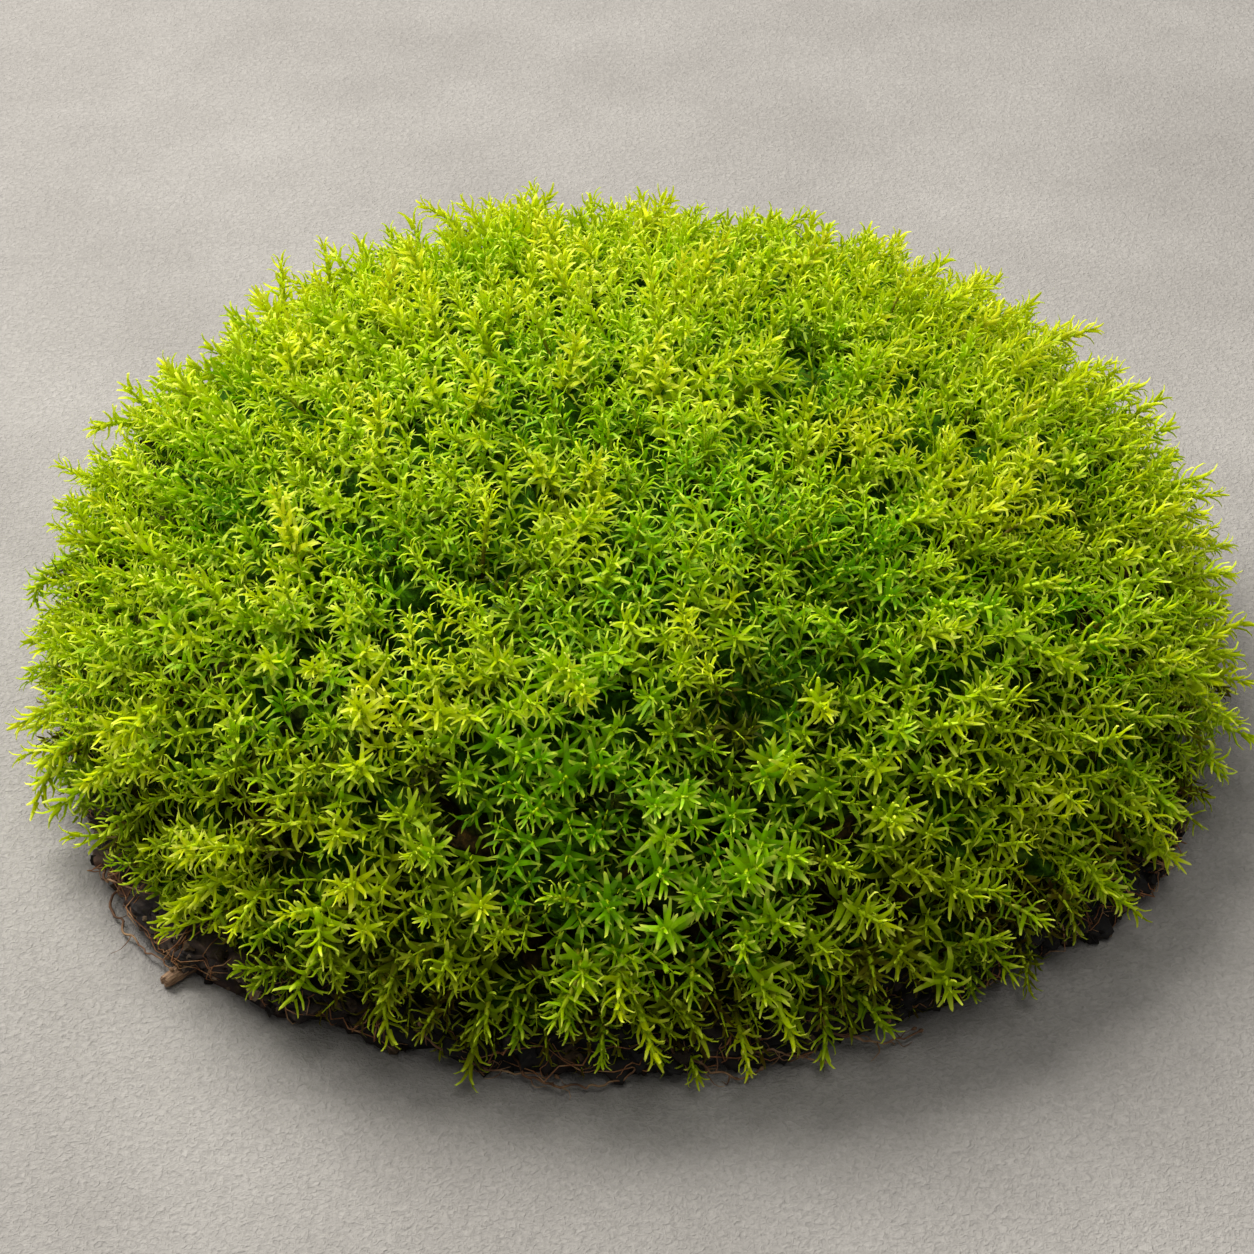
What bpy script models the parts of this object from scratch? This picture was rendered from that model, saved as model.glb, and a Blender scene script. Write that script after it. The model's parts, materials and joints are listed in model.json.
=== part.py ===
"""A clump of star-leaved moss: a domed leafy cushion grown over a clod of dark soil.

The clump is cut off flat underneath, where it was lifted from the ground. Units are metres and +Z is up.
The origin is in the middle of the flat underside, and -Y is the side with the most drooping shoots.
"""

import math
import random

import bmesh
import bpy
import numpy as np
from mathutils import Vector, noise

MM = 0.001

# The dome that the shoot tips reach.
CLUMP_RADIUS = 90 * MM
CLUMP_HEIGHT = 61 * MM
WIDEST_LEVEL = 8.7 * MM
DOME_POWER = 2.24  # 2 is an ellipse, and more is squarer in the shoulder
OUTLINE_LOBES = ((2, 0.010, 0.005), (3, 0.005, -0.007), (4, -0.003, 0.005), (5, -0.006, 0.002))

# The shoots on it.
SHOOTS = 560
SHOOT_SCATTER = 0.22  # how far a shoot strays from an even spacing, as a share of it
ROOM_ABOVE_RIM = 0.55  # from the rim to the lowest shoots, as a share of the spacing
TIP_UNEVENNESS = 1.3 * MM
LEAF_DEPTH = 3.4 * MM  # below the tips, where the leaves of two shoots meet
HOLLOW_DEPTH = 7.2 * MM  # below the tips, between three shoots
DEPTH_SPREAD = 0.8, 1.2  # shares of those depths
SWELLING = 1.6 * MM  # soft lumps over the whole cushion
SWELLING_SIZE = 38 * MM

# The fringe of shoots that droops over the rim, every other point of the rim being a tip.
RIM_POINTS = 96
FRINGE_LEVEL = 2.7 * MM
FRINGE_TUCK = 0.025  # how far the fringe draws in below the widest level, as a share of the radius
FRINGE_GAP_RISE = 3.6 * MM
FRINGE_GAP_TUCK = 0.02
FRINGE_STRAY = -0.006, 0.032  # how far out a drooping tip may reach, as a share of the radius
FRINGE_DROOP = -1.1 * MM, 1.2 * MM

# The soil, whose outer edge stands out past the fringe on a few ledges: direction, half width, reach.
SOIL_REACH = 0.93
LEDGES = ((-139, 19, 0.08), (-31, 13, 0.055), (98, 16, 0.045))
FULL_LEDGE = 0.08
LEDGE_CLEARANCE = 7.4 * MM  # how much higher the fringe starts over a full ledge
SOIL_SEAT = 0.88  # the moss covers the soil inside this share of the radius
SOIL_SEAT_LEVEL = 9.0 * MM
SOIL_CROWN_LEVEL = 22.0 * MM
SOIL_STEPS = ((0.972, 0.0), (0.992, 1.4 * MM), (1.0, 3.0 * MM), (0.995, 4.6 * MM), (0.98, 6.2 * MM))
LUMP_DEPTH = 3.2 * MM
LUMP_RISE = 0.9 * MM
LUMP_SIZE = 5 * MM
LUMP_MIDDLE = 0.3  # share of its depth that a middling lump is drawn in
MOSS_LIP = 0.945
MOSS_LIP_LEVEL = 8.3 * MM
GAP = 0.3 * MM

# Dry stems and rootlets: thickness, then points as (degrees, out from the soil, height), both in millimetres.
STRAND_RADIUS = 0.42 * MM
STRANDS = {
    "root_1": ((-148, 1.3, 3.6), (-146, 1.2, 5.6), (-143.5, 0.0, 7.1), (-141, -2.2, 7.5), (-139, -4.6, 7.8)),
    "root_2": ((-146, 1.6, 0.8), (-143, 1.2, 0.7), (-140, 1.0, 0.8), (-137, 0.9, 1.4), (-134.5, 0.85, 2.4)),
    "root_3": ((-109, 0.9, 4.2), (-107, 1.4, 2.6), (-104, 2.6, 0.9), (-101, 3.4, 0.7), (-98, 2.6, 0.8)),
    "root_4": ((-100, 4.8, 0.7), (-97, 5.6, 0.7), (-94, 5.2, 0.7), (-91, 3.8, 0.8), (-89, 1.6, 1.6)),
    "root_5": ((-86.5, 0.9, 4.6), (-85, 1.8, 3.0), (-83, 3.8, 1.0), (-80.5, 5.0, 0.7), (-78.5, 4.6, 0.8)),
    "root_6": ((-80, 0.9, 3.6), (-77.5, 1.4, 2.2), (-75, 2.6, 0.9), (-72.5, 4.4, 0.7)),
    "root_7": ((-71.5, 0.9, 3.0), (-69, 2.0, 1.4), (-66, 3.9, 0.7), (-63, 3.4, 0.8)),
    "root_8": ((62, 0.9, 3.8), (64.5, 1.8, 2.2), (68, 4.0, 0.8), (71.5, 5.2, 0.7)),
    "root_9": ((156, 0.9, 4.0), (159, 1.8, 1.9), (162.5, 3.4, 0.8), (166, 2.8, 0.8)),
}

# The broken end of a twig, lying on the ground against the left ledge.
STUB_DIRECTION = math.radians(-131.5)
STUB_LENGTH = 5.2 * MM
STUB_RADIUS = 1.25 * MM
STUB_TAPER = 0.8
STUB_ROUNDING = 0.3  # share of its radius
STUB_SIDES = 10

# Colours from the clump: red, green, blue, then roughness.
MOSS_GREEN = (0.20, 0.33, 0.02), 0.75
SOIL_BROWN = (0.030, 0.022, 0.016), 0.95
STRAND_BROWN = (0.16, 0.06, 0.025), 0.8
STUB_TAN = (0.45, 0.28, 0.14), 0.8

GOLDEN_ANGLE = math.pi * (3 - math.sqrt(5))
SEED = 11
DOME_STEPS, TUCK_STEPS = 240, 12
FACING_DOWN = -0.7
TIP, RIM, HOLLOW, RIDGE = range(4)  # what a point of the cushion is


def clear_scene():
    for old in list(bpy.data.objects):
        bpy.data.objects.remove(old, do_unlink=True)


def material(name, colour, roughness):
    made = bpy.data.materials.new(name)
    made.use_nodes = True
    shader = made.node_tree.nodes["Principled BSDF"]
    shader.inputs["Base Color"].default_value = (*colour, 1)
    shader.inputs["Roughness"].default_value = roughness
    return made


def finish(mesh, name, look, collection):
    """Turns a bmesh into an object of the clump with its own material."""
    bmesh.ops.recalc_face_normals(mesh, faces=mesh.faces)
    bmesh.ops.triangulate(mesh, faces=mesh.faces)
    data = bpy.data.meshes.new(name)
    mesh.to_mesh(data)
    mesh.free()
    data.materials.append(material(name, *look))
    made = bpy.data.objects.new(name, data)
    collection.objects.link(made)
    return made


def outline(angle):
    """Plan radius of the clump in this direction, as a share of its mean radius."""
    return 1 + sum(a * math.cos(k * angle) + b * math.sin(k * angle) for k, a, b in OUTLINE_LOBES)


def ledge(angle):
    """How far the soil stands out past its usual edge in this direction, as a share of the radius."""
    reach = 0
    for direction, half_width, most in LEDGES:
        off = math.remainder(angle - math.radians(direction), 2 * math.pi) / math.radians(half_width)
        reach += most * math.exp(-off * off)
    return reach


def around(angle, share, height):
    """A point in this direction, at a share of the clump's radius there."""
    radius = CLUMP_RADIUS * outline(angle) * share
    return Vector((radius * math.cos(angle), radius * math.sin(angle), height))


def dome_profile():
    """Radii and heights down the dome, from the crown past the widest level to the fringe."""
    steep = np.linspace(math.pi / 2, 0, DOME_STEPS)
    power = 2 / DOME_POWER
    radii = CLUMP_RADIUS * np.cos(steep) ** power
    radii[0] = 0
    heights = WIDEST_LEVEL + (CLUMP_HEIGHT - WIDEST_LEVEL) * np.sin(steep) ** power
    down = np.linspace(0, 1, TUCK_STEPS)[1:]
    tuck_radii = CLUMP_RADIUS * (1 - FRINGE_TUCK * down**2)
    tuck_heights = WIDEST_LEVEL - (WIDEST_LEVEL - FRINGE_LEVEL) * down
    return np.append(radii, tuck_radii), np.append(heights, tuck_heights)


def shoot_places(chance):
    """Evenly scattered places on the round dome, each with the same patch of surface to itself."""
    radii, heights = dome_profile()
    steps = np.hypot(np.diff(radii), np.diff(heights))
    area = np.append(0, np.cumsum(steps * (radii[1:] + radii[:-1]) * math.pi))
    spacing = math.sqrt(area[-1] / SHOOTS)
    last = area[-1] - ROOM_ABOVE_RIM * spacing * 2 * math.pi * radii[-1]
    stray = SHOOT_SCATTER * spacing
    for index in range(SHOOTS):
        patch = (index + 0.5) / SHOOTS * last
        width = max(float(np.interp(patch, area, radii)), spacing)
        patch = min(max(patch + chance.uniform(-stray, stray) * 2 * math.pi * width, 0), last)
        angle = index * GOLDEN_ANGLE + chance.uniform(-stray, stray) / width
        radius = float(np.interp(patch, area, radii))
        yield radius * math.cos(angle), radius * math.sin(angle), float(np.interp(patch, area, heights))


def growth(place):
    """The way a shoot grows at a place on the round dome: square to it."""
    across = Vector((place.x, place.y, 0))
    share = min(across.length / CLUMP_RADIUS, 1)
    rise = max(place.z - WIDEST_LEVEL, 0) / (CLUMP_HEIGHT - WIDEST_LEVEL)
    outward = across.normalized() * share ** (DOME_POWER - 1) / CLUMP_RADIUS
    upward = rise ** (DOME_POWER - 1) / (CLUMP_HEIGHT - WIDEST_LEVEL)
    return (outward + Vector((0, 0, upward))).normalized()


def rim_angle(index):
    return 2 * math.pi * index / RIM_POINTS


def fringe_point(angle, chance):
    """A point of the rim: every other one is a drooping tip, and those between are gaps."""
    index = round(angle / (2 * math.pi) * RIM_POINTS)
    level = FRINGE_LEVEL + LEDGE_CLEARANCE * min(ledge(angle) / FULL_LEDGE, 1)
    share = 1 - FRINGE_TUCK
    if index % 2:
        return around(angle, share - FRINGE_GAP_TUCK, level + FRINGE_GAP_RISE)
    return around(angle, share + chance.uniform(*FRINGE_STRAY), level + chance.uniform(*FRINGE_DROOP))


def cushion_depth(kind, chance):
    """How far below the dome of shoot tips a point of the cushion lies."""
    if kind == TIP:
        return chance.uniform(-TIP_UNEVENNESS, TIP_UNEVENNESS)
    return (LEAF_DEPTH if kind == RIDGE else HOLLOW_DEPTH) * chance.uniform(*DEPTH_SPREAD)


def on_cushion(place, depth):
    """Moves a point of the round dome to this depth, with the clump's swellings, outline and ledges."""
    above_fringe = min(max((place.z - FRINGE_LEVEL) / WIDEST_LEVEL, 0), 1)
    swelling = SWELLING * above_fringe * noise.noise(place / SWELLING_SIZE)
    moved = place + growth(place) * (swelling - depth)
    angle = math.atan2(moved.y, moved.x)
    lift = LEDGE_CLEARANCE * min(ledge(angle) / FULL_LEDGE, 1) * (1 - above_fringe)
    return Vector((moved.x * outline(angle), moved.y * outline(angle), moved.z + lift))


def moss_cushion(collection):
    """The leafy cushion: a dome of pointed shoots, each a star of leaf ridges, hollow under for the soil."""
    chance = random.Random(SEED)
    mesh = bmesh.new()
    kind = mesh.verts.layers.int.new("kind")
    for index in range(RIM_POINTS):
        turned = Vector((math.cos(rim_angle(index)), math.sin(rim_angle(index)), 0))
        rim = mesh.verts.new(turned * CLUMP_RADIUS * (1 - FRINGE_TUCK) + Vector((0, 0, FRINGE_LEVEL)))
        rim[kind] = RIM
    for place in shoot_places(chance):
        mesh.verts.new(place)[kind] = TIP
    bmesh.ops.convex_hull(mesh, input=mesh.verts)
    bmesh.ops.recalc_face_normals(mesh, faces=mesh.faces)
    under = [f for f in mesh.faces if f.normal.z < FACING_DOWN and all(v[kind] == RIM for v in f.verts)]
    bmesh.ops.delete(mesh, geom=under, context="FACES")

    # Star of each shoot: hollows between three tips, and leaf ridges from tip to tip.
    between = [edge for edge in mesh.edges if not edge.is_boundary]
    for hollow in bmesh.ops.poke(mesh, faces=mesh.faces)["verts"]:
        hollow[kind] = HOLLOW
    for item in bmesh.ops.subdivide_edges(mesh, edges=between, cuts=1)["geom_inner"]:
        if isinstance(item, bmesh.types.BMVert):
            item[kind] = RIDGE
    for vert in mesh.verts:
        if vert[kind] == RIM:
            vert.co = fringe_point(math.atan2(vert.co.y, vert.co.x), chance)
        else:
            vert.co = on_cushion(vert.co, cushion_depth(vert[kind], chance))

    # Underside: in over the soil's shoulder, then up over its crown.
    loop = [edge for edge in mesh.edges if edge.is_boundary]
    for share, level in ((MOSS_LIP, MOSS_LIP_LEVEL), (SOIL_SEAT, SOIL_SEAT_LEVEL + GAP)):
        loop, ring = next_ring(mesh, loop)
        for vert in ring:
            vert.co = around(math.atan2(vert.co.y, vert.co.x), share, level)
    close_with_pole(mesh, loop, SOIL_CROWN_LEVEL + GAP)
    return finish(mesh, "moss_cushion", MOSS_GREEN, collection)


def next_ring(mesh, loop):
    """Extrudes a ring of edges, and gives the new ring's edges and points."""
    grown = bmesh.ops.extrude_edge_only(mesh, edges=loop)["geom"]
    edges = [item for item in grown if isinstance(item, bmesh.types.BMEdge)]
    return edges, [item for item in grown if isinstance(item, bmesh.types.BMVert)]


def close_with_pole(mesh, loop, level):
    """Closes a ring of edges with a fan round a middle point at this height."""
    filled = bmesh.ops.edgeloop_fill(mesh, edges=loop)["faces"]
    middle = bmesh.ops.poke(mesh, faces=filled)["verts"][0]
    middle.co = Vector((0, 0, level))


def soil_edge(angle, share, level):
    """A point on the soil's crumbly side: lumps only ever draw it in from its full reach."""
    place = around(angle, (SOIL_REACH + ledge(angle)) * share, level)
    lump = noise.noise(place / LUMP_SIZE)
    drawn_in = LUMP_DEPTH * min(max(LUMP_MIDDLE + lump, 0), 1)
    rise = LUMP_RISE * noise.noise(place.zxy / LUMP_SIZE) if level else 0
    return place - Vector((place.x, place.y, 0)).normalized() * drawn_in + Vector((0, 0, rise))


def soil(collection):
    """The clod of soil: flat underneath, crumbly at its edge, and higher in the middle, under the moss."""
    mesh = bmesh.new()
    bmesh.ops.create_circle(mesh, cap_ends=True, segments=RIM_POINTS, radius=CLUMP_RADIUS)
    loop, ring = list(mesh.edges), list(mesh.verts)
    for share, level in SOIL_STEPS:
        if level:
            loop, ring = next_ring(mesh, loop)
        for vert in ring:
            vert.co = soil_edge(math.atan2(vert.co.y, vert.co.x), share, level)
    loop, ring = next_ring(mesh, loop)
    for vert in ring:
        vert.co = around(math.atan2(vert.co.y, vert.co.x), SOIL_SEAT, SOIL_SEAT_LEVEL)
    close_with_pole(mesh, loop, SOIL_CROWN_LEVEL)
    return finish(mesh, "soil", SOIL_BROWN, collection)


def strand(name, route, collection):
    """A dry stem or rootlet: a thin tube through its route."""
    curve = bpy.data.curves.new(name, "CURVE")
    curve.dimensions = "3D"
    curve.bevel_depth = STRAND_RADIUS
    curve.bevel_resolution = 1
    curve.use_fill_caps = True
    curve.resolution_u = 2
    line = curve.splines.new("NURBS")
    line.points.add(len(route) - 1)
    for point, (degrees, off, height) in zip(line.points, route):
        angle = math.radians(degrees)
        share = SOIL_REACH + ledge(angle) + off * MM / (CLUMP_RADIUS * outline(angle))
        point.co = (*around(angle, share, height * MM), 1)
    line.order_u = 4
    line.use_endpoint_u = True
    curve.materials.append(material(name, *STRAND_BROWN))
    made = bpy.data.objects.new(name, curve)
    collection.objects.link(made)
    return made


def twig_stub(collection):
    """The broken twig end: a short rounded cylinder lying on the ground, pointing away from the soil."""
    mesh = bmesh.new()
    bmesh.ops.create_cone(
        mesh,
        cap_ends=True,
        segments=STUB_SIDES,
        radius1=STUB_RADIUS,
        radius2=STUB_RADIUS * STUB_TAPER,
        depth=STUB_LENGTH,
    )
    ends = [edge for edge in mesh.edges if any(len(face.verts) > 4 for face in edge.link_faces)]
    bmesh.ops.bevel(
        mesh,
        geom=ends,
        offset=STUB_RADIUS * STUB_ROUNDING,
        offset_type="OFFSET",
        affect="EDGES",
        segments=2,
        profile=0.5,
        material=-1,
    )
    outward = Vector((math.cos(STUB_DIRECTION), math.sin(STUB_DIRECTION), 0))
    turn = outward.to_track_quat("Z", "Y").to_matrix()
    start = soil_edge(STUB_DIRECTION, 1, STUB_RADIUS)
    middle = Vector((start.x, start.y, STUB_RADIUS)) + outward * (GAP + STUB_LENGTH / 2)
    bmesh.ops.rotate(mesh, verts=mesh.verts, cent=(0, 0, 0), matrix=turn)
    bmesh.ops.translate(mesh, verts=mesh.verts, vec=middle)
    return finish(mesh, "twig_stub", STUB_TAN, collection)


def main():
    clear_scene()
    clump = bpy.data.collections.new("moss_clump")
    bpy.context.scene.collection.children.link(clump)
    soil(clump)
    moss_cushion(clump)
    for name, route in STRANDS.items():
        strand(name, route, clump)
    twig_stub(clump)


main()
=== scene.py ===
"""Looks of the moss clump: star-leaved moss plants grown tight together over a clod of dark soil."""

import json
import math
import random
from collections import namedtuple

import bmesh
import bpy
import numpy as np
from mathutils import Matrix, Vector, noise
from mathutils.bvhtree import BVHTree

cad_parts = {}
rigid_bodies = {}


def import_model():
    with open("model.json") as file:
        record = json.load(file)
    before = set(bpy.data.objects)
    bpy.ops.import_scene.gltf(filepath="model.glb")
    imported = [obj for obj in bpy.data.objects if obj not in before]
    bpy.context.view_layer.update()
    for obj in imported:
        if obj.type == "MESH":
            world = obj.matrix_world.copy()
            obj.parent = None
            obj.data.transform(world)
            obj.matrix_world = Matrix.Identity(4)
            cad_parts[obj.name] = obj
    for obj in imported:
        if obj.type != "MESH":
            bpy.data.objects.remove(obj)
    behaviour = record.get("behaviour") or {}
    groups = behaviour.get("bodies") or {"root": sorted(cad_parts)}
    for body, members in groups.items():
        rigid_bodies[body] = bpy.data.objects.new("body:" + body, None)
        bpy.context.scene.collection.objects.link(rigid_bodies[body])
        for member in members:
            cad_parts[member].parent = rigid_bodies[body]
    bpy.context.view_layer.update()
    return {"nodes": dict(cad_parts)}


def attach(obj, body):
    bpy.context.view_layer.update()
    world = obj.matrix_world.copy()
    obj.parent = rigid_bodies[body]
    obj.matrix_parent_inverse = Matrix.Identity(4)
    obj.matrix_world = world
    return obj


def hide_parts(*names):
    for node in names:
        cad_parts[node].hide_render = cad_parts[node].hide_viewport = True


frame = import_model()
MM = 0.001

# Soil clod. Dark, humus-rich earth that the moss grows on, cut off flat where it was lifted.
# Its side is broken and crumbly, and shows under the drooping shoots, most of all at three ledges.
# Made from the frame's soil solid, with its side cut finer and roughened into lumps.
SOIL_CUTS = 4
SOIL_TOP = 9.2 * MM  # above this the soil is under the moss
FLAT = 0.95  # faces that look up or down more than this stay uncut
SOIL_LUMPS = ((2.4 * MM, 1.9 * MM), (1.1 * MM, 0.8 * MM), (0.45 * MM, 0.25 * MM))  # size, then height
SOIL_SWELL = 3.2 * MM  # how far it bulges at the front
SOIL_SWELL_WIDTH = math.radians(28)
SOIL_FOOT = 0.5 * MM  # lumps fade out this close to the flat cut
SOIL_BREAK = 3.4 * MM  # its left front ledge is broken back this far
SOIL_BREAK_MIDDLE = math.radians(-144)
SOIL_BREAK_WIDTH = math.radians(17)
SOIL_BREAK_SPAN = (62 * MM, 78 * MM)  # none of the inner radius is broken back, and all of the outer


def copy_of_node(name):
    """A merged copy of a CAD node's mesh, as a bmesh."""
    mesh = bmesh.new()
    mesh.from_mesh(frame["nodes"][name].data)
    bmesh.ops.remove_doubles(mesh, verts=mesh.verts, dist=0.001 * MM)
    return mesh


def finished_mesh(name, shape):
    """A mesh from a bmesh, which is then freed."""
    data = bpy.data.meshes.new(name)
    shape.to_mesh(data)
    shape.free()
    return data


def in_scene(name, data):
    """A new object in the scene, at the origin."""
    made = bpy.data.objects.new(name, data)
    bpy.context.scene.collection.objects.link(made)
    return made


def new_object(name, mesh, material):
    """An object with one material, from a mesh, or from a bmesh, which comes out smooth."""
    if isinstance(mesh, bmesh.types.BMesh):
        for face in mesh.faces:
            face.smooth = True
        mesh = finished_mesh(name, mesh)
    mesh.name = name
    mesh.materials.clear()
    mesh.materials.append(material)
    return in_scene(name, mesh)


def piece(name, mesh, material):
    """Such an object, riding on the clump."""
    made = new_object(name, mesh, material)
    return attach(made, "root")


def in_plan(place):
    """The place as seen from above: its part across the ground."""
    return Vector((place.x, place.y, 0))


def angle_of(place):
    """The direction of a place round the clump."""
    return math.atan2(place.y, place.x)


def roughness_of(place, lumps):
    """Height of a broken surface here: rounded lumps with creases between them, of several sizes."""
    return sum(height * (abs(noise.noise(place / size)) * 2 - 0.7) for size, height in lumps)


class Nodes:
    """Adds nodes to a tree. Each is fed sockets or values, under its inputs' names or numbers."""

    def __init__(self, tree):
        self.tree = tree

    def add(self, kind, settings=None, **inputs):
        node = self.tree.nodes.new(kind)
        for name, value in (settings or {}).items():
            setattr(node, name, value)
        for name, value in inputs.items():
            self.feed(node, name.replace("_", " "), value)
        return node

    def feed(self, node, name, value):
        socket = node.inputs[int(name)] if name.isdigit() else node.inputs[name]
        if isinstance(value, bpy.types.NodeSocket):
            self.tree.links.new(value, socket)
        else:
            socket.default_value = value

    def maths(self, operation, first, second=0.0, clamp=False):
        node = self.add("ShaderNodeMath", {"operation": operation, "use_clamp": clamp})
        self.feed(node, "0", first)
        self.feed(node, "1", second)
        return node.outputs[0]

    def ramp(self, share, *stops):
        """A colour ramp from (position, (red, green, blue)) stops."""
        node = self.add("ShaderNodeValToRGB", Fac=share)
        ramp = node.color_ramp
        while len(ramp.elements) < len(stops):
            ramp.elements.new(0.5)
        for element, (position, colour) in zip(ramp.elements, stops):
            element.position = position
            element.color = (*colour, 1)
        return node.outputs["Color"]

    def span(self, value, low, high, to_low=0.0, to_high=1.0):
        """The value carried from one range to another, clamped."""
        sides = {"From_Min": low, "From_Max": high, "To_Min": to_low, "To_Max": to_high}
        return self.add("ShaderNodeMapRange", Value=value, **sides).outputs["Result"]

    def mix(self, share, first, second, blend="MIX"):
        node = self.add("ShaderNodeMix", {"data_type": "RGBA", "blend_type": blend}, Factor=share)
        for name, value in (("6", first), ("7", second)):
            self.feed(node, name, (*value, 1) if isinstance(value, tuple) else value)
        return node.outputs[2]

    def noise(self, place, scale, detail=2.0, roughness=0.5):
        node = self.add("ShaderNodeTexNoise", Vector=place, Scale=scale, Detail=detail, Roughness=roughness)
        return node.outputs["Fac"]

    def attribute(self, name):
        return self.add("ShaderNodeAttribute", {"attribute_name": name}).outputs["Fac"]

    def axis(self, place, name):
        """One of the three numbers of a place."""
        return self.add("ShaderNodeSeparateXYZ", Vector=place).outputs[name]

    def dress(self, colour, roughness, relief, strength, depth, shine=0.5):
        """Feeds the material's shader, and gives back the normal of its relief."""
        shader = self.tree.nodes["Principled BSDF"]
        bump = self.add("ShaderNodeBump", Height=relief, Strength=strength, Distance=depth)
        self.feed(shader, "Base Color", colour)
        self.feed(shader, "Roughness", roughness)
        self.feed(shader, "Specular IOR Level", shine)
        self.feed(shader, "Normal", bump.outputs["Normal"])
        return bump.outputs["Normal"]


def new_material(name):
    """A material with a bare Principled shader, its nodes, and the place in Object coordinates."""
    made = bpy.data.materials.new(name)
    made.use_nodes = True
    nodes = Nodes(made.node_tree)
    return made, nodes, nodes.add("ShaderNodeTexCoord").outputs["Object"]


def broken_back(angle):
    """How far the soil's side is broken back in this direction."""
    away = (angle - SOIL_BREAK_MIDDLE + math.pi) % (2 * math.pi) - math.pi
    return SOIL_BREAK * math.exp(-((away / SOIL_BREAK_WIDTH) ** 2))


def broken_earth():
    """Crumbly soil: near black in the pits, dark brown on lumps, reddish and pale grains on top. Painted
    light brightens it at the far left, and painted shade darkens it from there to the right.
    """
    made, nodes, place = new_material("broken_earth")
    lumps = nodes.noise(place, 330.0, 5.0, 0.6)
    grains = nodes.add("ShaderNodeTexVoronoi", Vector=place, Scale=1500.0)
    blotches = nodes.noise(place, 70.0, 2.0)
    earth = nodes.ramp(
        lumps,
        (0.34, (0.003, 0.002, 0.002)),
        (0.50, (0.009, 0.006, 0.005)),
        (0.64, (0.030, 0.021, 0.016)),
        (0.80, (0.09, 0.064, 0.046)),
    )
    red = nodes.mix(nodes.span(blotches, 0.52, 0.70, 0.0, 0.45), earth, (0.085, 0.032, 0.014))
    pale = nodes.span(grains.outputs["Color"], 0.86, 0.95, 0.0, 0.5)
    dry = nodes.mix(pale, red, (0.20, 0.15, 0.10))
    # Painted light and shade: the earth is made brighter at the far left, towards the key light, and darker
    # from there to the right.
    painted_light_and_shade = nodes.span(nodes.axis(place, "X"), -54 * MM, -34 * MM, 3.2, 0.35)
    colour = nodes.mix(1.0, dry, painted_light_and_shade, "MULTIPLY")
    height = nodes.maths("ADD", lumps, nodes.maths("MULTIPLY", grains.outputs["Distance"], 0.5))
    nodes.dress(colour, nodes.span(lumps, 0.3, 0.7, 0.72, 0.95), height, 0.7, 0.35 * MM)
    return made


clod = copy_of_node("soil")
side = set()
for face in clod.faces:
    if face.calc_center_median().z < SOIL_TOP and abs(face.normal.z) < FLAT:
        side.update(face.edges)
bmesh.ops.subdivide_edges(clod, edges=list(side), cuts=SOIL_CUTS, use_grid_fill=True)
bmesh.ops.recalc_face_normals(clod, faces=clod.faces)
clod.normal_update()
for vert in clod.verts:
    out = in_plan(vert.co)
    reached = (out.length - SOIL_BREAK_SPAN[0]) / (SOIL_BREAK_SPAN[1] - SOIL_BREAK_SPAN[0])
    vert.co -= out.normalized() * broken_back(angle_of(out)) * min(max(reached, 0), 1)
    if vert.co.z < SOIL_TOP:
        from_front = angle_of(vert.co) + math.pi / 2
        swell = SOIL_SWELL * math.exp(-(from_front / SOIL_SWELL_WIDTH) ** 2)
        swell *= 1 - (vert.co.z / SOIL_TOP) ** 2
        rough = min(vert.co.z / SOIL_FOOT, 1) * roughness_of(vert.co, SOIL_LUMPS)
        vert.co += out.normalized() * swell + vert.normal * rough
        vert.co.z = max(vert.co.z, 0)
CLOD_SURFACE = BVHTree.FromBMesh(clod)
soil = piece("soil_clod", clod, broken_earth())
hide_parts("soil")

# Moss shoots. Each plant is a thin stem with narrow, keeled, pointed leaves set round it in a spiral.
# They stand square to the dome, so the front shows them end on as stars, and the flanks and back
# side on as plumes; on the crown the leaves are finer and curl, and at the rim the shoots droop.
RADIUS = 90 * MM
HEIGHT = 61 * MM
WIDEST_LEVEL = 8.7 * MM
RIM_LEVEL = 3.2 * MM
RIM_TUCK = 0.98  # the rim's radius, as a share of the widest
PROFILE_POINTS = 240  # of the dome's side, from the crown to its widest level
DOME_POWER = 2.24  # 2 is an ellipse, and more is squarer in the shoulder
# Waves of the plan: how many of them go round the clump, and their two parts as shares of its radius.
LOBES = ((2, 0.010, 0.005), (3, 0.005, -0.007), (4, -0.003, 0.005), (5, -0.006, 0.002))
SWELLING = 1.6 * MM  # broad, low swellings of the cushion
SWELLING_SIZE = 38 * MM
# Ledges, where the soil juts out: direction and half width in degrees, and how far, over the radius.
LEDGES = ((-139, 19, 0.08), (-31, 13, 0.055), (98, 16, 0.045))
LEDGE_LIFT = 7.4 * MM  # the moss stands this much higher over the fullest ledge
TOP_SHOOTS = 760
UNDER_SHOOTS = 2300
UNDER_DEPTHS = (1.8 * MM, 5.0 * MM)  # how far below the top shoots these end
CROWN_CROWDING = 0.35  # how much closer the crown's shoots stand than the rim's
SHOOT_SCATTER = 0.34  # how far they stray from an even spread, as a share of their spacing
VIGOURS = (0.74, 1.22)  # the smallest and the largest shoot, as shares of its habit's size
STRONG_SHARE = 0.09  # long yellow shoots that stand above the others
STRONG_LIFT = 1.6 * MM
DEAD_SHARE = (0.10, 0.65)  # of the top shoots and of the lower ones at the rim, dried brown
CURLED_MIDDLE = (-8, -36)  # right and back in mm: round here the shoots are fine and curled
CURLED_SIZE = 42 * MM
DROOP = 0.95  # how much the rim's shoots hang
LEAN = 1.0  # neighbouring shoots lean the same way
LEAN_SIZE = 14 * MM
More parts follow.
